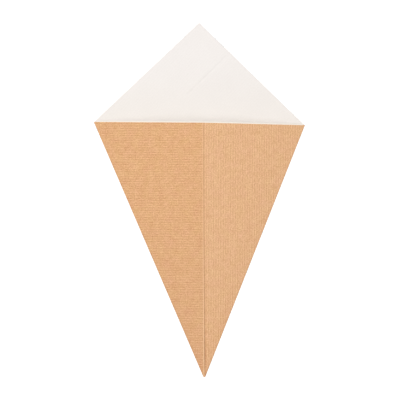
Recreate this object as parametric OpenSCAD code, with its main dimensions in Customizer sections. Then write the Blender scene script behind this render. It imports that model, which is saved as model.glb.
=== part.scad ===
// Paper fries cone, folded from one kite of kraft paper and lying flat on its back panel.
// The two fold lines meet at the tip, which is the zero of x and y while the sheet is worked out.
// Every line of the paper runs straight from the tip to a cut edge, so the sheet stays unstretched.

/* [Back panel] */
// Length of the back panel from the tip to its point
back_length = 295; // [240:1:420]
// Sideways place of the point, measured from the tip
point_shift = -4.3; // [-30:0.1:30]

/* [Pocket] */
// Distance from the tip up the seam to the mouth
mouth_depth = 212; // [150:1:230]
// Height that the mouth stands open at the seam
mouth_gape = 8; // [1:0.5:25]
// Sideways reach of the left fold at the mouth
left_reach = 91.5; // [60:0.1:120]
// Distance from the tip up to the left end of the mouth
left_depth = 212.7; // [150:0.1:230]
// Sideways reach of the right fold at the mouth
right_reach = 83.2; // [60:0.1:120]
// Distance from the tip up to the right end of the mouth
right_depth = 210; // [150:0.1:230]

/* [Seam] */
// Sideways place of the seam at the mouth, measured from the tip
seam_shift = -1.3; // [-20:0.1:20]
// Width of the glued lap at the mouth, where the left flap covers the right one
lap_width = 12; // [4:0.5:30]
// Extra height of the seam's edge at the tip, where the layers bunch up
tip_rise = 1; // [0:0.1:2]

/* [Paper] */
// Thickness of the two-ply paper
paper = 0.16; // [0.08:0.01:0.5]
// Clear space inside the side folds
fold_gap = 0.24; // [0.04:0.02:2]
// Length cut off the sharp tip by the folds
tip_blunt = 1; // [0.4:0.1:4]
// Length of the tip that is pressed shut
tip_seal = 4; // [1:0.5:20]

/* [Hidden] */

flap_steps = 16;
lap_steps = 3;
fold_steps = 6;

left_corner = [-left_reach, left_depth];
right_corner = [right_reach, right_depth];
back_point = [point_shift, back_length];

lap_edge = seam_shift - lap_width;
// A cut edge of paper leans by this share of its thickness.
cut_lean_share = 0.25;
cut_lean = paper * cut_lean_share;

// Height of the flaps' outer face at the side folds, and of the line that each fold bends round.
flap_top = 2 * paper + fold_gap;
fold_axis = flap_top / 2;

middle_x = (right_reach - left_reach) / 2;
middle_y = (tip_blunt + back_length) / 2;

kraft = "#e3b285";

// Share of the way from the seam to the fold on the same side, for a place across the mouth.
function out_share(x) =
    x < seam_shift
    ? (seam_shift - x) / (seam_shift + left_reach)
    : (x - seam_shift) / (right_reach - seam_shift);

// The mouth's cut edge, straight from each corner to the seam.
function mouth_y(x) =
    let (corner = x < seam_shift ? left_corner : right_corner)
    mouth_depth + (corner.y - mouth_depth) * out_share(x);

// Height of the bowed flaps over the folds at the mouth, an even arch that is level at the seam.
function arch(x) = mouth_gape * (1 - pow(out_share(x), 2));

// How far the left flap has climbed onto the lap, from none at its fold to one at the lap.
function climb_share(x) = min(1, (x + left_reach) / (lap_edge + left_reach));

// A line of the paper: its end in plan, a fixed sideways step, a fixed height,
// and a height that grows evenly from none at the tip to the full value at the end.
function line(end, step, height, growth) = [end.x, end.y, step, height, growth];

// The place on a line of the paper at a distance up from the tip.
function along(l, y) =
    let (share = y / l[1])
    [l[0] * share + l[2], y, l[3] + l[4] * share];

// A line on a flap's face, with the left flap lifted onto the right one by its share of the climb.
function flap_line(x, face, climb) =
    line([x, mouth_y(x)], 0, face + climb * (paper + tip_rise), arch(x) - climb * tip_rise);

// A line round a side fold, on a bend of the given radius.
function fold_line(corner, angle, radius) =
    line(corner, radius * cos(angle), fold_axis + radius * sin(angle), 0);

// Places between two values, without the last one.
function spread(from, to, steps) = [for (i = [0:steps - 1]) from + (to - from) * i / steps];

lap_xs = concat(spread(seam_shift, lap_edge, lap_steps), [lap_edge]);
left_xs = spread(lap_edge - cut_lean, -left_reach, flap_steps);
right_xs = concat(
    [for (i = [1:flap_steps]) right_reach + (seam_shift - right_reach) * i / (flap_steps + 1)],
    [seam_shift + cut_lean]);
left_angles = [for (i = [0:fold_steps]) 90 + 180 * i / fold_steps];
right_angles = [for (i = [0:fold_steps]) 270 + 180 * i / fold_steps];

// The lines of one face, a depth below the sheet's outer face: from the seam over the left flap,
// round the left fold, across the back panel, round the right fold and back up to the seam.
function face_lines(depth, lap_climb) = concat(
    [for (x = lap_xs) flap_line(x, flap_top - depth, lap_climb)],
    [for (x = left_xs) flap_line(x, flap_top - depth, climb_share(x))],
    [for (a = left_angles) fold_line(left_corner, a, fold_axis - depth)],
    [line(back_point, 0, depth, 0)],
    [for (a = right_angles) fold_line(right_corner, a, fold_axis - depth)],
    [for (x = right_xs) flap_line(x, flap_top - depth, 0)]);

// Over the lap the outer face is the left flap's and the inner face is the right flap's,
// so the two glued layers make one wall.
outside = face_lines(0, 1);
inside = face_lines(paper, 0);

// Both ends of a face's lines: first those near the tip, then those at the cut edge.
function face_ends(lines, start) =
    concat([for (l = lines) along(l, start)], [for (l = lines) along(l, l[1])]);

// Two triangles for each cell between two rings of points.
function band(low, high, count) =
    [for (i = [0:count - 1]) let (n = (i + 1) % count)
        each [[low + i, high + n, low + n], [low + i, high + i, high + n]]];

module paper_cone() {
    count = len(outside);
    outer_tip = 0;
    outer_cut = count;
    inner_tip = 2 * count;
    inner_cut = 3 * count;
    color(kraft)
        translate([-middle_x, -middle_y, 0])
            polyhedron(
                points = concat(face_ends(outside, tip_blunt), face_ends(inside, tip_blunt + tip_seal)),
                faces = concat(
                    band(outer_tip, outer_cut, count),
                    band(outer_cut, inner_cut, count),
                    band(inner_cut, inner_tip, count),
                    [[for (i = [0:count - 1]) outer_tip + i]],
                    [[for (i = [1:count]) inner_tip + count - i]]),
                convexity = 6);
}

paper_cone();
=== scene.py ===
# %% [markdown]
# # A paper fries cone
# This lesson dresses the solid of a paper fries cone. The real thing is one kite of two-ply paper,
# ribbed brown kraft outside and white greaseproof paper inside. Two side folds turn its flaps over
# the back panel, and a glued lap down the middle closes the pocket. A few flat planes would pass
# for it from far away, but close by paper shows its edges, its bow and its folds. So the sheet
# itself is worked out with numpy, line by line from the tip, and laid in the place of the solid.

import bpy
import numpy as np
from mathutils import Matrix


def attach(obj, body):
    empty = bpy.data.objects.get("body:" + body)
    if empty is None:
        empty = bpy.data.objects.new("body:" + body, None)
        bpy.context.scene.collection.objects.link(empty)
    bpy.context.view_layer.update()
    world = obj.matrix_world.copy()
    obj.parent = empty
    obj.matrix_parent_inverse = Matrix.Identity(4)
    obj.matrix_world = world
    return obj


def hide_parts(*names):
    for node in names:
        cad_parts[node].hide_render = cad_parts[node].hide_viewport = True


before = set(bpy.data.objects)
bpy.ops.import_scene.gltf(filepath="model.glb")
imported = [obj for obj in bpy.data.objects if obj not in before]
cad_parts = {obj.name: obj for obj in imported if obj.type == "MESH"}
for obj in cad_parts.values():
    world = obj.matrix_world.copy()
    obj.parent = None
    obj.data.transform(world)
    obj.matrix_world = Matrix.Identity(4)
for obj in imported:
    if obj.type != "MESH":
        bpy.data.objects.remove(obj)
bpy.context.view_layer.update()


def mm(lengths, digits=2):
    """Lengths in metres as rounded millimetres, for printing."""
    return np.round(np.array(lengths) * 1000, digits).tolist()


# %% [markdown]
# ## Measuring the solid
# The sheet has to lie exactly where the solid lies. Its sizes could be typed in again, but then a
# change to the solid would leave the sheet behind. So they are read from the solid's own points:
# the outermost points at each side are the end of a fold, the highest one is the mouth at the seam,
# and the two fold lines cross at the tip.

# %% The ends of the folded sheet
NODE = "paper_cone"
NEAR = 2e-6  # measures closer than this count as the same

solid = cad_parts[NODE].data
spots = np.empty(len(solid.vertices) * 3, np.float32)
solid.vertices.foreach_get("co", spots)
spots = spots.reshape(-1, 3).astype(float)


def level_with(spot):
    """The solid's points that lie as far up from the tip as one of them."""
    return spots[np.abs(spots[:, 1] - spot[1]) < NEAR]


left_end = level_with(spots[spots[:, 0].argmin()])
right_end = level_with(spots[spots[:, 0].argmax()])
point_end = level_with(spots[spots[:, 1].argmax()])
tip_end = level_with(spots[spots[:, 1].argmin()])
crest = spots[spots[:, 2].argmax()]
ends = (left_end, right_end, point_end, tip_end)
print("points read at the left, right, point and tip:", *map(len, ends))

# %% Paper, folds and gape
paper = point_end[:, 2].max()
fold_radius = left_end[:, 2].max() / 2
left_corner = np.array([left_end[:, 0].max(), left_end[0, 1]])
right_corner = np.array([right_end[:, 0].min(), right_end[0, 1]])
back_point = point_end[0, :2]
gape = crest[2] - 2 * fold_radius - paper
print("paper, fold radius and gape in mm:", mm([paper, fold_radius, gape], 3))


# %% The tip, where the two fold lines cross
def crossing(a, b, c, d):
    """Where the line through a and b meets the line through c and d."""
    across, slant = b - a, d - c
    share = np.linalg.solve(np.column_stack([across, -slant]), c - a)[0]
    return a + across * share


tip_left = np.array([tip_end[:, 0].min() + fold_radius, tip_end[0, 1]])
tip_right = np.array([tip_end[:, 0].max() - fold_radius, tip_end[0, 1]])
tip = crossing(left_corner, tip_left, right_corner, tip_right)
tip_blunt = tip_left[1] - tip[1]
left, right, point, seam = (place - tip for place in (left_corner, right_corner, back_point, crest[:2]))
print("corners, point and seam from the tip, in mm:", mm([left, right, point, seam]))

# %% How far the seam's edge stands up at the tip
tip_share = tip_blunt / seam[1]
tip_rise = (tip_end[:, 2].max() - 2 * fold_radius - paper - gape * tip_share) / (1 - tip_share)
print("the seam's edge stands up at the tip by", mm(tip_rise), "mm")

# %% [markdown]
# ## The lines of the sheet
# Paper bends but doesn't stretch. On a paper cone every straight line runs from the tip to a cut
# edge, so the whole sheet is a fan of such lines. A cloth simulation could bend a flat kite into
# this shape, but it stretches the sheet a little and rounds the folds. A fan can do neither. Each
# line is seven numbers: its end in plan, a sideways step for the rounding of a fold, a height, a rise
# that grows from the tip, a lift that fades away from the tip, and a lip. The lip is the white ply,
# which stands a hair past the kraft at the mouth.

# %% Lines of the flaps
LAP = 0.012
GLUE = 0.00002
LIP = 0.0009
LIP_TAPER = 0.06

flap_middle = 2 * fold_radius - paper / 2


def flap_lines(x, over, climb):
    """Lines over the flaps. They end on the mouth, which is straight from each corner to the seam.
    The rise is the gape times one less the square of the share of the way out from the seam. Over
    puts the left flap one paper above the right one, and climb stands both layers up at the tip."""
    corner_x = np.where(x < seam[0], left[0], right[0])
    corner_y = np.where(x < seam[0], left[1], right[1])
    out = (x - seam[0]) / (corner_x - seam[0])
    y = seam[1] + (corner_y - seam[1]) * out
    height = flap_middle + over * (paper + GLUE)
    rise = gape * (1 - out**2)
    lip = LIP * np.minimum(1, (1 - out) / LIP_TAPER)
    return np.stack([x, y, 0 * x, height, rise, climb * tip_rise, lip], 1)


print("the lap is", mm(LAP), "mm wide and the lip", mm(LIP), "mm deep")

# %% Lines of the folds and the back
fold_middle = fold_radius - paper / 2


def fold_lines(corner, degrees):
    """Lines round a side fold: a half turn of the paper's middle about the fold's axis."""
    turn = np.deg2rad(degrees)
    x, y = corner[:, None] * np.ones_like(turn)
    step = fold_middle * np.cos(turn)
    height = fold_radius + fold_middle * np.sin(turn)
    return np.stack([x, y, step, height, 0 * x, 0 * x, 0 * x], 1)


def back_lines(start, end, count):
    """Lines of the flat back panel that end along one of its cut edges, without the first."""
    share = np.linspace(0, 1, count + 1)[1:]
    x, y = (start + (end - start) * share[:, None]).T
    return np.stack([x, y, 0 * x, 0 * x + paper / 2, 0 * x, 0 * x, 0 * x], 1)


print("the paper's middle turns round a fold at", mm(fold_middle), "mm")


# %% A smooth step
def eased(place, start, end):
    """A smooth step from 0 at the start to 1 at the end: 3 t^2 - 2 t^3, with t the share of the way."""
    t = np.clip((place - start) / (end - start), 0, 1)
    return t * t * (3 - 2 * t)


print("a quarter of the way is eased to", eased(0.25, 0, 1))

# %% [markdown]
# ## The fan in order
# The lines are listed in the order in which they lie on the flat sheet: the seam's edge, left flap,
# left fold, back, right fold, right flap, and last the lap that hides under the left flap. The
# panels could be separate pieces that meet at the folds, but then each fold would be a seam to
# close. One list from edge to edge makes one unbroken sheet.

# %% The whole fan
FLAP_LINES = 56
LAP_LINES = 13
FOLD_LINES = 9
BACK_LINES = 40

lap_edge = seam[0] - LAP
left_x = np.linspace(seam[0], left[0], FLAP_LINES)[:-1]
right_x = np.linspace(right[0], seam[0], FLAP_LINES)[1:]
right_x = np.append(right_x, np.linspace(seam[0], lap_edge, LAP_LINES)[1:])
left_climb = np.clip((left_x - left[0]) / (lap_edge - left[0]), 0, 1)
right_climb = np.clip((seam[0] - right_x) / LAP, 0, 1)
parts = {
    "left flap": flap_lines(left_x, eased(left_climb, 0, 1), left_climb),
    "left fold": fold_lines(left, np.linspace(90, 270, FOLD_LINES)),
    "back left": back_lines(left, point, BACK_LINES),
    "back right": back_lines(point, right, BACK_LINES)[:-1],
    "right fold": fold_lines(right, np.linspace(270, 450, FOLD_LINES)),
    "right flap": flap_lines(right_x, 0 * right_x, right_climb),
}
fan = np.concatenate(list(parts.values()))
starts = dict(zip(parts, np.cumsum([0] + [len(lines) for lines in parts.values()])))
print(len(fan), "lines:", {name: len(lines) for name, lines in parts.items()})

# %% [markdown]
# ## From lines to a sheet
# Rows of points along all the lines make a grid, and the grid is the middle of the paper. A cone
# that has been handled isn't perfectly even: the tip is pressed flat, the flaps wave a little, the
# white point curls up, and one fine crease runs slantwise across it. A Displace modifier could lift
# all that from a texture, but it would lift the folds too, and miss a groove that is finer than the
# grid. Here each wave is scaled by how loose the paper is, and the rows are gathered at the crease.

# %% Where the lines cross the crease
# The two ends of the crease in plan, measured from the tip.
CREASE_START = np.array([0.0206, 0.2693])
CREASE_END = np.array([-0.0156, 0.2336])

end_x, end_y, step, height, rise, lift, lip = fan.T[:, :, None]
back = np.zeros((len(fan), 1))
back[starts["back left"]:starts["right fold"]] = 1
crease_length = np.linalg.norm(CREASE_END - CREASE_START)
run = (CREASE_END - CREASE_START) / crease_length


def by_crease(x, y):
    """How far a place lies right of the crease, looking down it from its start, and how far down it."""
    x, y = x - CREASE_START[0], y - CREASE_START[1]
    return x * run[1] - y * run[0], x * run[0] + y * run[1]


tip_off = by_crease(0, 0)[0]
crease_share = tip_off / (tip_off - by_crease(end_x, end_y)[0])
down = by_crease(end_x * crease_share, end_y * crease_share)[1]
crossed = np.flatnonzero(back * (down > 0) * (down < crease_length))
crease_share = np.interp(np.arange(len(fan)), crossed, crease_share[crossed, 0])[:, None]
print("the crease is", mm(crease_length), "mm long and crosses", len(crossed), "lines")

# %% The middle of the paper
ROWS_BELOW, ROWS_ON, ROWS_ABOVE = 90, 15, 14
CREASE_ROOM = 0.0035  # the rows on the crease reach this far to both sides of it along each line
ROOM_SHARE = 2 / 3  # but no further than this share of the way that is left to the cut edge
CLOSE = 0.00005  # the last row before the lip lies this far before the mouth

first = tip_blunt / end_y
before = crease_share - CREASE_ROOM / end_y
last = 1 - CLOSE / end_y
past = crease_share + np.minimum(CREASE_ROOM / end_y, (last - crease_share) * ROOM_SHARE)
share = np.hstack([
    first + (before - first) * np.linspace(0, 1, ROWS_BELOW, endpoint=False),
    before + (past - before) * np.linspace(0, 1, ROWS_ON, endpoint=False),
    past + (last - past) * np.linspace(0, 1, ROWS_ABOVE),
    1 + lip / end_y,
])
ahead = share * end_y
print("grid of the paper's middle:", share.shape)

# %% The pressed tip
PRESSED_TO, LOOSE_FROM = 0.002, 0.02

lifted = lift * (1 - share) * eased(ahead, PRESSED_TO, LOOSE_FROM)
middle = np.stack([end_x * share + step, ahead, height + rise * share + lifted], 2)
print("the seam's edge is lifted by", mm(lifted.max()), "mm at most")

# %% Waves and curl
CURL = 0.0004
# The height of each wave in metres, and what x, y and the start add to each of its two sines.
WAVES = (
    (0.0002, (61, 23, 0.7), (-19, 47, 2.1)),
    (0.0001, (118, -71, 1.3), (33, 97, 0.0)),
)


def slanted(slant):
    """A sine along a slanted direction of the plan, for every place of the grid."""
    return np.sin(middle[..., 0] * slant[0] + middle[..., 1] * slant[1] + slant[2])


wave = sum(tall * slanted(one) * slanted(two) for tall, one, two in WAVES)
loose = np.clip(rise / gape, 0, 1) * share**2
beyond = back * np.clip((ahead - seam[1]) / (point[1] - seam[1]), 0, 1)
middle[..., 2] += loose * wave + beyond**2 * (CURL + wave)
print("the waves move the flaps in mm from and to", mm([(loose * wave).min(), (loose * wave).max()]))

# %% The crease
CREASE_DEPTH = 0.0002
CREASE_HALF = 0.0017
SWELL_HALF = 0.02
CREASE_FADE = 0.002

off, down = by_crease(middle[..., 0], middle[..., 1])
past_ends = np.maximum(-down, down - crease_length)
crease = back * (1 - eased(past_ends, -CREASE_FADE, CREASE_FADE))
groove = eased(np.abs(off), 0, CREASE_HALF) - eased(np.abs(off), 0, SWELL_HALF)
middle[..., 2] += CREASE_DEPTH * crease * groove
print("the crease is", mm(CREASE_DEPTH), "mm deep and", mm(2 * CREASE_HALF), "mm wide")

# %% [markdown]
# ## Two faces and a rim
# Real paper has two faces and a cut edge. A Solidify modifier could thicken the grid, but it gives
# every edge the same thickness, and at the mouth the kraft ply ends before the white one. So the
# faces are laid half a thickness to either side of the middle, along the grid's own normals, and
# only the lip is thinner. A strip of faces round the border closes the sheet into one solid piece.

# %% Outer and inner face
normal = np.cross(np.gradient(middle, axis=0), np.gradient(middle, axis=1))
normal /= np.linalg.norm(normal, axis=2, keepdims=True)
kraft_depth = np.full(middle.shape, paper / 2)
kraft_depth[:, -1] *= lip < CLOSE
outer = middle - normal * kraft_depth
inner = middle + normal * paper / 2
print("thickness in mm:", mm(np.linalg.norm(outer - inner, axis=2).mean(), 3))


# %% Faces of a grid, and its border
def cells(rows, columns):
    """Corner numbers of every cell of a grid, row by row, as quads."""
    i, j = np.meshgrid(np.arange(rows - 1), np.arange(columns - 1), indexing="ij")
    at = (i * columns + j).ravel()
    return np.stack([at, at + 1, at + columns + 1, at + columns], 1)


def border(rows, columns):
    """The numbers of a grid's border points, once round."""
    number = np.arange(rows * columns).reshape(rows, columns)
    return np.concatenate([number[:-1, 0], number[-1, :-1], number[:0:-1, -1], number[0, :0:-1]])


rows, columns = middle.shape[:2]
quads = cells(rows, columns)
edge = border(rows, columns)
print(len(quads), "cells on each face and", len(edge), "points on the border")

# %% The closed sheet
under = rows * columns
after = np.roll(edge, -1)
rim = np.stack([edge, after, after + under, edge + under], 1)
faces = np.concatenate([quads, quads[:, ::-1] + under, rim])
places = np.concatenate([outer, inner]).reshape(-1, 3) + np.append(tip, 0)


def volume(points, quads):
    """Volume that quads enclose, from the triple product of each half's corners. It is positive
    if the quads face outwards."""
    a, b, c, d = (points[quads[:, k]] for k in range(4))
    return (a * (np.cross(b, c) + np.cross(c, d))).sum() / 6


print(len(faces), "faces that enclose", round(volume(places, faces) * 1e9), "cubic mm of paper")

# %% [markdown]
# ## The flat blank as a map
# The ribs were pressed into the paper before it was folded, so they run straight on the flat blank
# and turn with each fold. A projection from above would run them straight on across the folds.
# Unrolling the fan is exact: the angle between neighbouring lines adds up along the sheet, and the
# distance from the tip stays. Those flat places, in metres, are the UV map.

# %% Unrolling the fan
aims = np.hstack([end_x, end_y, rise - lift])
reach = np.linalg.norm(aims, axis=1, keepdims=True)
aims /= reach
opening = np.arccos(np.clip((aims[1:] * aims[:-1]).sum(1), -1, 1))
# The lines round a fold don't open, so the way round it counts as an angle seen from the tip.
around = np.linalg.norm(np.diff(np.hstack([step, height]), axis=0), axis=1)
angle = np.append(0, np.cumsum(opening + around * (opening < NEAR) / left[1]))
# The left fold keeps its own direction, so the back panel lies on the map as it lies on the table.
angle += np.arctan2(*left) - angle[starts["back left"] - 1]
away = reach * share
blank = np.stack([away * np.sin(angle)[:, None], away * np.cos(angle)[:, None]], 2)
print("the blank opens from and to", np.round(np.rad2deg(angle[[0, -1]]), 2), "degrees")

# %% Area of the blank
slices = reach[1:, 0] * reach[:-1, 0] * np.sin(np.diff(angle)) / 2
back_slices = slices[starts["back left"] - 1:starts["right fold"]]
print("sheet and back panel in square metres:", np.round([slices.sum(), back_slices.sum()], 4))

# %% [markdown]
# ## The mesh
# The arrays become one Blender mesh. Points and faces could be added one at a time with bmesh, but
# whole arrays are quicker and easier to read. Each face is told its ply: kraft on the outside, white
# on the inside, on the rim and on the lip. The outer points at the ends of the lines are marked,
# because paper is paler where it is freshly cut. The sheet is shaded smooth, and stays sharp only
# where the rim meets the faces.

# %% Plies
KRAFT, WHITE = 0, 1

line_of = quads[:, 0] // columns
on_lip = quads[:, 0] % columns == columns - 2
on_flap = (line_of < starts["left fold"]) | (line_of >= starts["right flap"])
ply = np.full(len(faces), WHITE, np.int32)
ply[:len(quads)] = np.where(on_lip & on_flap, WHITE, KRAFT)
print("faces of kraft and of white:", np.bincount(ply))

# %% Points and faces
SHARP_DEGREES = 40

mesh = bpy.data.meshes.new("paper_cone_sheet")
mesh.from_pydata(places.tolist(), [], faces.tolist())
mesh.polygons.foreach_set("material_index", ply)
mesh.shade_smooth()
mesh.set_sharp_from_angle(angle=np.deg2rad(SHARP_DEGREES))
mesh.update()
sheet = bpy.data.objects.new("paper_cone_sheet", mesh)
bpy.context.scene.collection.objects.link(sheet)
print(len(mesh.vertices), "points; the mesh needed mending:", mesh.validate())

# %% The map and the fresh cut
corners = np.empty(len(mesh.loops), np.int32)
mesh.loops.foreach_get("vertex_index", corners)
flat = np.concatenate([blank, blank]).reshape(-1, 2)[corners]
mesh.uv_layers.new(name="blank").data.foreach_set("uv", flat.astype(np.float32).ravel())
fresh_cut = np.zeros((2, rows, columns), np.float32)
fresh_cut[0, :, -2:] = 1
mesh.attributes.new("fresh_cut", "FLOAT", "POINT").data.foreach_set("value", fresh_cut.ravel())
print("the blank on its map is", mm(np.ptp(flat, axis=0)), "mm")

# %% [markdown]
# ## Shader arithmetic
# A paper finish is a sum of patterns. Wiring each sum by hand in the node editor hides the idea, so
# one small class wraps a node's output and lets Python's own signs add the Math nodes. A line such
# as 1 - mask then reads as what it does.


# %% A value in a shader
class Value:
    """An output socket. Arithmetic on it adds Math nodes, and node() adds any other kind."""

    def __init__(self, tree, socket):
        self.tree = tree
        self.socket = socket

    def node(self, kind, sockets, output=0, **settings):
        """Adds a node of that type: its settings first, then the values or links of its sockets."""
        made = self.tree.nodes.new(kind)
        for name, setting in settings.items():
            setattr(made, name, setting)
        for name, value in sockets.items():
            if isinstance(value, Value):
                self.tree.links.new(value.socket, made.inputs[name])
            else:
                made.inputs[name].default_value = value
        return Value(self.tree, made.outputs[output])

    def math(self, operation, a, b=0.0):
        """A Math node on two values or numbers."""
        return self.node("ShaderNodeMath", {0: a, 1: b}, operation=operation)

    def __add__(self, other):
        return self.math("ADD", self, other)

    def __sub__(self, other):
        return self.math("SUBTRACT", self, other)

    def __rsub__(self, other):
        return self.math("SUBTRACT", other, self)

    def __mul__(self, other):
        return self.math("MULTIPLY", self, other)

    __radd__ = __add__
    __rmul__ = __mul__

    def sine(self):
        return self.math("SINE", self)

    def size(self):
        return self.math("ABSOLUTE", self)

    def root(self):
        return self.math("SQRT", self)

    def between(self, low, high):
        """Smooth step from 0 at low to 1 at high."""
        sockets = {"Value": self, "From Min": low, "From Max": high}
        return self.node("ShaderNodeMapRange", sockets, interpolation_type="SMOOTHSTEP")

    def noise(self, other, scale, detail=2.0):
        """Noise over the plane of two values, from about -1 to 1."""
        spot = self.node("ShaderNodeCombineXYZ", {0: self, 1: other})
        sockets = {"Vector": spot, "Scale": scale, "Detail": detail}
        return self.node("ShaderNodeTexNoise", sockets, noise_dimensions="2D") * 2 - 1

    def blend(self, low, high):
        """A colour between two colours, by this value."""
        return self.node("ShaderNodeMix", {0: self, 6: low, 7: high}, output=2, data_type="RGBA")

    def times(self, tint):
        """This colour multiplied by another colour."""
        sockets = {0: 1.0, 6: self, 7: tint}
        return self.node("ShaderNodeMix", sockets, output=2, data_type="RGBA", blend_type="MULTIPLY")

    def into(self, shader, name):
        """Links this value to a socket of the shader."""
        self.tree.links.new(self.socket, shader.inputs[name])


print("a shader value can:", *(name for name in vars(Value) if not name.startswith("_")))


# %% The start of a paper finish
def paper_finish(name):
    """A new material, its shader, and the place on the flat blank as two values in millimetres."""
    made = bpy.data.materials.new(name)
    made.use_nodes = True
    shader = made.node_tree.nodes["Principled BSDF"]
    start = Value(made.node_tree, shader.outputs[0])
    place = start.node("ShaderNodeUVMap", {}, uv_map="blank")
    x = start.node("ShaderNodeSeparateXYZ", {0: place}, output=0) * 1000
    y = start.node("ShaderNodeSeparateXYZ", {0: place}, output=1) * 1000
    sheet.data.materials.append(made)
    print("material", len(sheet.data.materials) - 1, "of the sheet is", name)
    return shader, x, y


def linear(red, green, blue):
    """The scene-linear colour of an sRGB colour given in 255ths."""
    srgb = np.array([red, green, blue]) / 255
    part = np.where(srgb > 0.04045, ((srgb + 0.055) / 1.055) ** 2.4, srgb / 12.92)
    return (*part.tolist(), 1.0)


print("mid grey in linear light:", np.round(linear(128, 128, 128)[0], 3))

# %% [markdown]
# ## Kraft outside
# Ribbed kraft has a fine stripe every two millimetres, fibres drawn out along it, cloudy patches, and
# a few dark hairs and specks. A picture of paper could be tiled over the sheet, but its repeats
# would show. Here each feature is a pattern of its own on the blank: the stripe is a sine, and the
# rest is noise, each at its own scale. The stripe is turned so that it lies level on the left flap,
# and the folds then turn it upright on the right flap by themselves.

# %% Ribs
RIB_PITCH = 2.0
RIB_TURN = 2 * np.arctan2(*left)
RIB_WANDER, WANDER_SCALE = 0.4, 0.02
DRAWN_OUT = 0.3  # a pattern that is drawn out changes this much slower along the ribs
WEAKEST_RIB = 0.5
PRESS_SCALE, PRESS_RANGE = 0.45, (-0.7, 0.5)


def rib_axes(x, y):
    """The place on the blank as distances across and along the ribs."""
    return x * np.sin(RIB_TURN) + y * np.cos(RIB_TURN), x * np.cos(RIB_TURN) - y * np.sin(RIB_TURN)


shader, x, y = paper_finish("ribbed_kraft")
across, along = rib_axes(x, y)
drawn_out = along * DRAWN_OUT
wander = along.noise(across, WANDER_SCALE) * RIB_WANDER
pressed = drawn_out.noise(across, PRESS_SCALE, detail=1).between(*PRESS_RANGE)
rib = ((across + wander) * (2 * np.pi / RIB_PITCH)).sine()
rib = rib * (WEAKEST_RIB + pressed * (1 - WEAKEST_RIB))
print("ribs every", RIB_PITCH, "mm, turned", round(np.rad2deg(RIB_TURN), 1), "degrees on the blank")

# %% Fibres, grain and clouds
# For each noise: how much slower it changes along the ribs, its scale per millimetre, its detail.
NOISES = {
    "fibre": (0.22, 1.1, 3.0),
    "grain": (1.0, 1.0, 3.0),
    "fine": (1.0, 4.5, 2.0),
    "cloud": (1.0, 0.15, 3.0),
}

kraft = {"rib": rib}
for name, (slower, scale, detail) in NOISES.items():
    kraft[name] = (along * slower).noise(across, scale, detail)
print("patterns in the kraft:", *kraft)

# %% Hairs and specks
HAIR_SCALE, HAIR_WIDTH = 2.4, 0.14
PATCH_SCALE, PATCH_RANGE = 0.9, (-0.1, 0.3)  # hairs lie in patches
SPECK_SCALE, SPECK_RANGE = 0.55, (0.5, 0.75)

hair = 1 - drawn_out.noise(across, HAIR_SCALE).size().between(0, HAIR_WIDTH)
kraft["hair"] = hair * along.noise(across, PATCH_SCALE, detail=1).between(*PATCH_RANGE)
kraft["speck"] = along.noise(across, SPECK_SCALE, detail=1).between(*SPECK_RANGE)
print("patterns in the kraft:", *kraft)


# %% The patterns together
def mixed(patterns, shares):
    """The sum of the named patterns, each times its share."""
    return sum(patterns[name] * share for name, share in shares.items())


KRAFT_SHADES = {
    "rib": 0.18, "fibre": 0.38, "grain": 0.78, "fine": 0.35, "cloud": 0.17,
    "hair": -0.3, "speck": -0.25,
}
EVENED = 0.03  # makes up for the dark of the hairs and specks

pattern = mixed(kraft, KRAFT_SHADES) + EVENED
print("strongest in the kraft:", max(KRAFT_SHADES, key=KRAFT_SHADES.get))

# %% [markdown]
# ## Folds, seam and tip
# A few marks are painted into the colour along lines of the sheet. The folds get a painted shade.
# The cut edge at the seam is pale, from its cut and from a painted highlight where it curls up, and
# beside it a thin line is darker, from glue stain and from painted shadow of the edge, most of all
# near the tip. Such marks could be painted on by hand. They all follow lines through the tip, though,
# so each is made from the distance on the blank to such a line, and stays on its edge however the
# sheet is folded.


# %% Lines on the blank
def beside(turn):
    """Distance on the blank to the right of the line that leaves the tip at that angle."""
    return x * np.cos(turn) - y * np.sin(turn)


left_fold, right_fold = np.arctan2(*left), np.arctan2(*right)
seam_edge = angle[0]
glue_shadow_line = angle[starts["right flap"] + FLAP_LINES - 2]  # the right flap's line below that edge
lines = np.rad2deg([seam_edge, left_fold, right_fold, glue_shadow_line])
print("seam edge, folds and glue line on the blank:", np.round(lines, 2), "degrees")

# %% Places up the blank
# Each pair is a stretch of the way from the tip, in millimetres, over which a mark fades.
WHOLE_WAY = 20, 200
LOWER_HALF = 30, 100
TIP_BEGINS, TIP_ENDS = (4, 18), (20, 42)

from_tip = (x * x + y * y).root()
towards_tip = 1 - from_tip.between(*WHOLE_WAY)
low_down = 1 - from_tip.between(*LOWER_HALF)
near_tip = from_tip.between(*TIP_BEGINS) * (1 - from_tip.between(*TIP_ENDS))
print("marks near the tip lie from", TIP_BEGINS[0], "to", TIP_ENDS[1], "mm up")

# %% Painted fold shade, and the seam's pale cut, painted highlight, glue and painted shadow
FOLD_CORE, FOLD_SIDE = 0.2, 1.8
CUT_HIGHLIGHT_CORE, CUT_HIGHLIGHT_SIDE = 0.2, 1.0
CUT_AND_HIGHLIGHT_SHARES = 0.38, 0.45, 0.2
GLUE_SHADOW_CORE, GLUE_SHADOW_SIDE, GLUE_SHADOW_SPREAD = 0.3, 1.6, 0.5


def stronger(everywhere, towards, near):
    """The strength that a mark has everywhere, plus what it gains towards the tip and near the tip."""
    return everywhere + towards_tip * towards + near_tip * near


off_left = beside(left_fold).size().between(FOLD_CORE, FOLD_SIDE)
off_right = beside(right_fold).size().between(FOLD_CORE, FOLD_SIDE)
# Painted shade: the kraft is darker within a couple of millimetres of each fold.
painted_fold_shade = 1 - off_left * off_right
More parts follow.
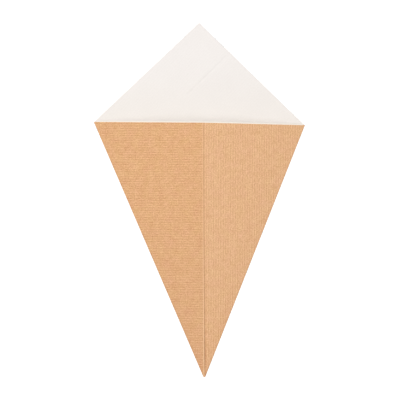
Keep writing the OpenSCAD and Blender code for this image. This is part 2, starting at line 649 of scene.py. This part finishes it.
# The seam's edge is paler: its pale cut plus a painted highlight where the edge curls up, more towards
# the tip.
seam_cut_and_highlight = (1 - beside(seam_edge).between(CUT_HIGHLIGHT_CORE, CUT_HIGHLIGHT_SIDE)) * stronger(*CUT_AND_HIGHLIGHT_SHARES)
# Beside the seam a thin darker line: glue stain plus painted shadow of the lifted edge, wider near the
# tip.
glue_and_seam_shadow = beside(glue_shadow_line).between(-GLUE_SHADOW_SIDE - near_tip * GLUE_SHADOW_SPREAD, -GLUE_SHADOW_CORE)
print("the glue shows", GLUE_SHADOW_SIDE, "mm wide, and near the tip", GLUE_SHADOW_SIDE + GLUE_SHADOW_SPREAD, "mm")

# %% [markdown]
# ## Colour, relief and gloss of the kraft
# On the right flap the ribs run towards the light, so the flap has a little sheen and looks paler.
# Only a shader with a direction could show that by itself, so the sheen is painted into the tone and
# the colour: the right flap's pattern is a little stronger, and its kraft is blended towards a paler
# one. The brown is a blend of a dark and a light kraft by the tone, and each mark then pulls it
# towards a colour of its own. One of them is a painted shade that darkens the kraft towards the tip,
# most of all on the left flap.

# %% Tone and hue of the kraft
TURN_HALF = 1.0  # the right flap's tone begins over this far to both sides of its fold
RIGHT_CONTRAST = 0.12
# How far the painted fold shade, and the glue stain with its painted shadow, lower the tone.
PAINTED_FOLD_SHADE, GLUE_AND_SHADOW_SHADE = 0.15, 0.3
HUE_SCALE = 0.12

on_right = beside(right_fold).between(-TURN_HALF, TURN_HALF)
tone = 0.5 + pattern * (1 + on_right * RIGHT_CONTRAST) - painted_fold_shade * PAINTED_FOLD_SHADE - glue_and_seam_shadow * GLUE_AND_SHADOW_SHADE
hue = 0.5 + along.noise(across, HUE_SCALE) * 0.5
print("the tone falls by", PAINTED_FOLD_SHADE, "on the folds and by", GLUE_AND_SHADOW_SHADE, "over the glue")

# %% Browns and their shares
DARK_KRAFT, LIGHT_KRAFT = linear(210, 150, 98), linear(243, 196, 149)
PINKER, GREENER = (1.0, 0.95, 1.035, 1.0), (1.0, 1.05, 0.965, 1.0)
# Painted sheen on the right flap: a paler kraft, with less of it low down.
SHEEN_KRAFT, SHEEN_SHARE, SHEEN_LESS_LOW = linear(253, 220, 188), 0.125, 0.035
# Painted shade: a duller, darker kraft towards the tip, with less of it on the right flap.
TIP_SHADE_KRAFT, TIP_SHADE_SHARE, TIP_SHADE_LESS_RIGHT = linear(186, 142, 121), 0.1, 0.8
# Glue stain with painted shadow beside the seam, stronger towards and near the tip.
GLUE_AND_SHADOW_BROWN, GLUE_AND_SHADOW_SHARES = linear(153, 85, 48), (0.05, 0.23, 0.18)
# The seam's pale cut edge with a painted highlight.
CUT_AND_HIGHLIGHT_KRAFT = linear(252, 212, 168)
print("kraft from", np.round(DARK_KRAFT[:3], 3), "to", np.round(LIGHT_KRAFT[:3], 3), "in linear light")

# %% Colour of the kraft
# The right flap is blended towards the paler kraft: a painted sheen where its ribs catch the light.
painted_sheen = on_right * (SHEEN_SHARE - low_down * SHEEN_LESS_LOW)
# Painted shade that darkens the kraft towards the tip, most of all on the left flap.
painted_tip_shade = towards_tip * (1 - on_right * TIP_SHADE_LESS_RIGHT) * TIP_SHADE_SHARE
colour = tone.blend(DARK_KRAFT, LIGHT_KRAFT).times(hue.blend(PINKER, GREENER))
colour = painted_sheen.blend(colour, SHEEN_KRAFT)
colour = painted_tip_shade.blend(colour, TIP_SHADE_KRAFT)
# The glue stain and painted shadow beside the seam.
colour = (glue_and_seam_shadow * stronger(*GLUE_AND_SHADOW_SHARES)).blend(colour, GLUE_AND_SHADOW_BROWN)
# The pale cut and painted highlight on the seam's edge, blended in last.
seam_cut_and_highlight.blend(colour, CUT_AND_HIGHLIGHT_KRAFT).into(shader, "Base Color")
print("the kraft's colour takes", len(shader.id_data.nodes), "nodes")

# %% Relief and gloss of the kraft
MILLIMETRE = 0.001
PAPER_GLOSS = 0.3
KRAFT_HEIGHTS = {"rib": 0.012, "fibre": 0.012, "grain": 0.01, "fine": 0.006, "hair": 0.008}
KRAFT_ROUGH, FIBRE_ROUGH = 0.72, 0.06


def feel(shader, relief, rough):
    """Gives a shader its relief in millimetres, its roughness, and the weak gloss of paper."""
    relief.node("ShaderNodeBump", {"Height": relief, "Distance": MILLIMETRE}).into(shader, "Normal")
    rough.into(shader, "Roughness")
    shader.inputs["Specular IOR Level"].default_value = PAPER_GLOSS


feel(shader, mixed(kraft, KRAFT_HEIGHTS), KRAFT_ROUGH + kraft["fibre"] * FIBRE_ROUGH)
print("relief of the kraft in mm:", KRAFT_HEIGHTS)

# %% [markdown]
# ## White inside
# The greaseproof ply is smoother and a little glossier than the kraft, and the ribs press through it
# faintly. The lamps could show the crease's groove by themselves if they were hard and low, but soft
# ones from above hardly shade it. So its flank towards the point gets a faint painted shade, measured
# from the same line as the groove.

# %% Ribs and grain of the white
CLOUD_SCALE, GRAIN_SCALE = 0.03, 0.7

shader, x, y = paper_finish("white_greaseproof")
across, along = rib_axes(x, y)
white = {
    "rib": (across * (2 * np.pi / RIB_PITCH)).sine(),
    "cloud": along.noise(across, CLOUD_SCALE),
    "grain": along.noise(across, GRAIN_SCALE, detail=3),
}
print("patterns in the white:", *white)

# %% Painted shade on the crease's flank towards the point
FLANK, FLANK_HALF = 0.00085, 0.00095
FADE_IN, FADE_OUT = 0.03, 0.006

off, down = by_crease(x * MILLIMETRE, y * MILLIMETRE)
span = down.between(0, FADE_IN) * (1 - down.between(crease_length - FADE_OUT, crease_length))
white["shadowed"] = (1 - (off - FLANK).size().between(0, FLANK_HALF)) * span
print("the middle of the dull flank lies", mm(FLANK), "mm off the crease")

# %% Colour, relief and gloss of the white
WHITE_SHADES = {"rib": 0.06, "cloud": 0.2, "grain": 0.25, "shadowed": -0.3}
WHITE_HEIGHTS = {"rib": 0.004, "grain": 0.006}
WHITE_ROUGH, GRAIN_ROUGH = 0.6, 0.05
WARM_TO, COOL_FROM = 208, 275
COOL_WHITES = linear(241, 235, 231), linear(250, 245, 241)
WARM_WHITES = linear(239, 232, 225), linear(248, 242, 236)
CUT_PAPER = linear(251, 243, 230)

tone = 0.5 + mixed(white, WHITE_SHADES)
towards_mouth = 1 - y.between(WARM_TO, COOL_FROM)
cut = tone.node("ShaderNodeAttribute", {}, output="Fac", attribute_name="fresh_cut")
colour = towards_mouth.blend(tone.blend(*COOL_WHITES), tone.blend(*WARM_WHITES))
cut.blend(colour, CUT_PAPER).into(shader, "Base Color")
feel(shader, mixed(white, WHITE_HEIGHTS), WHITE_ROUGH + white["grain"] * GRAIN_ROUGH)
print("relief of the white in mm:", WHITE_HEIGHTS)

# %% [markdown]
# ## The sheet takes the solid's place
# The solid could be shown with the same paper on it, but it has no lip, no waves and only one layer
# at the lap. So the sheet stands in for it in every picture, and rides on the part's only body. The
# solid stays in the physics, where it carries the weight and the contacts.

# %% Riding and replacing
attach(sheet, "root")
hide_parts(NODE)
print(sheet.name, "rides on root and replaces", NODE)

# %% [markdown]
# ## Table
# The cone lies on a white table. Strong lamps could bleach the table to white, but they would bleach
# the paper too. So the table is a plain pale top that takes the shadows, and shines a little for
# rays from the camera only. Far out, where the lamps don't reach, it shines more, so that it is
# white to the horizon.

# %% White table
TABLE_REACH = 4.0

table_mesh = bpy.data.meshes.new("table")
table_corners = np.array([(-1, -1, 0), (1, -1, 0), (1, 1, 0), (-1, 1, 0)]) * TABLE_REACH
table_mesh.from_pydata(table_corners.tolist(), [], [(0, 1, 2, 3)])
table = bpy.data.objects.new("table", table_mesh)
bpy.context.scene.collection.objects.link(table)
white_top = bpy.data.materials.new("white_table")
white_top.use_nodes = True
table.data.materials.append(white_top)
print("the table reaches", TABLE_REACH, "m to each side")


# %% What the camera sees
def seen(tree):
    """One for what the camera sees, also in a mirror or through glass, and nothing for other light."""
    start = Value(tree, tree.nodes[0].outputs[0])
    camera, mirror, glass = (
        start.node("ShaderNodeLightPath", {}, output=f"Is {kind} Ray")
        for kind in ("Camera", "Glossy", "Transmission")
    )
    return start.math("MAXIMUM", start.math("MAXIMUM", camera, mirror), glass)


shown = seen(white_top.node_tree)
print("nodes that ask what sees the table:", len(white_top.node_tree.nodes) - 2)

# %% The table's white
PALE_TOP, TOP_ROUGH = (0.8, 0.8, 0.8, 1), 0.9
FULL_BLACK, FULL_WHITE = (0, 0, 0, 1), (1, 1, 1, 1)
SHINE = 0.35
LIT_TO, DARK_FROM = 0.4, 2.5

surface = white_top.node_tree.nodes["Principled BSDF"]
surface.inputs["Base Color"].default_value = PALE_TOP
surface.inputs["Roughness"].default_value = TOP_ROUGH
surface.inputs["Specular IOR Level"].default_value = 0.0
surface.inputs["Emission Strength"].default_value = 1.0
place = shown.node("ShaderNodeTexCoord", {}, output="Object")
x, y = (shown.node("ShaderNodeSeparateXYZ", {0: place}, output=k) for k in (0, 1))
unlit = (x * x + y * y).root().between(LIT_TO, DARK_FROM)
shine = shown * (SHINE + unlit * (1 - SHINE))
shine.blend(FULL_BLACK, FULL_WHITE).into(surface, "Emission Color")
print("the table shines", SHINE, "near the cone and 1 from", DARK_FROM, "m on")

# %% [markdown]
# ## Room and lamps
# The cone was lit softly from above, with hardly a shadow. One lamp straight above would do that,
# but it would leave the seam and the mouth without any depth. Here a soft lamp hangs above, a little
# up the cone and to its left, and a wide one hangs a little towards the tip. The wide one makes the
# flaps throw a soft shadow over the white point at the mouth. The room adds a little from all sides.

# %% The room
ROOM = 0.11

world = bpy.data.worlds.new("room")
world.use_nodes = True
backdrop = world.node_tree.nodes["Background"]
seen(world.node_tree).blend((ROOM, ROOM, ROOM, 1), FULL_WHITE).into(backdrop, "Color")
bpy.context.scene.world = world
print("the room gives a white sheet", ROOM, "of its light")


# %% Lamps
def softbox(name, place, width, level):
    """A round soft lamp that faces the middle of the table and gives a white sheet there that level.
    A lamp of power P gives P / pi^2 / (distance^2 + (width / 2)^2) to a sheet that faces it, and less
    by the cosine of the slant to one that lies on the table."""
    place = np.array(place)
    distance = np.linalg.norm(place)
    lamp = bpy.data.lights.new(name, "AREA")
    lamp.shape = "DISK"
    lamp.size = width
    lamp.energy = level * np.pi**2 * (distance**2 + width**2 / 4) * distance / place[2]
    box = bpy.data.objects.new(name, lamp)
    box.location = place
    sideways = np.arctan2(np.hypot(place[0], place[1]), place[2])
    box.rotation_euler = (0, sideways, np.arctan2(place[1], place[0]))
    box.visible_camera = False
    bpy.context.scene.collection.objects.link(box)
    print(name, "burns", round(lamp.energy, 1), "watts")


# For each lamp: its place, its width, and the light that it gives a white sheet.
SOFTBOXES = {
    "side_softbox": ((-0.3, 0.45, 2.0), 1.4, 0.6),
    "wide_softbox": ((0.0, -0.4, 1.6), 1.9, 0.25),
}
for name, (place, width, level) in SOFTBOXES.items():
    softbox(name, place, width, level)

# %% [markdown]
# ## Camera
# The picture looks straight down on the cone. A camera with no perspective would show that too, but
# not the other views of the part. So it is a long lens high above the table, which draws the mouth's
# edge hardly larger than the back. It is aimed so that the tip falls on its pixel of the picture.

# %% A long lens from above
PIXEL = 0.00083
PICTURE = 400
PICTURE_TIP = np.array([204.35, 378.16])
CAMERA_HEIGHT = 3.6
SENSOR = 36

aim = tip + (PICTURE / 2 - PICTURE_TIP) * np.array([PIXEL, -PIXEL])
lens = bpy.data.cameras.new("overhead")
lens.sensor_width = SENSOR
lens.lens = SENSOR * CAMERA_HEIGHT / (PIXEL * PICTURE)
camera = bpy.data.objects.new("overhead", lens)
camera.location = (*aim, CAMERA_HEIGHT)
bpy.context.scene.collection.objects.link(camera)
bpy.context.scene.camera = camera
bpy.context.scene.view_settings.view_transform = "Standard"
print("camera over", mm(aim), "mm, with a lens of", round(lens.lens, 1), "mm")

# %% [markdown]
# ## Sizes, and the end
# Dressing must not change the size of the part.
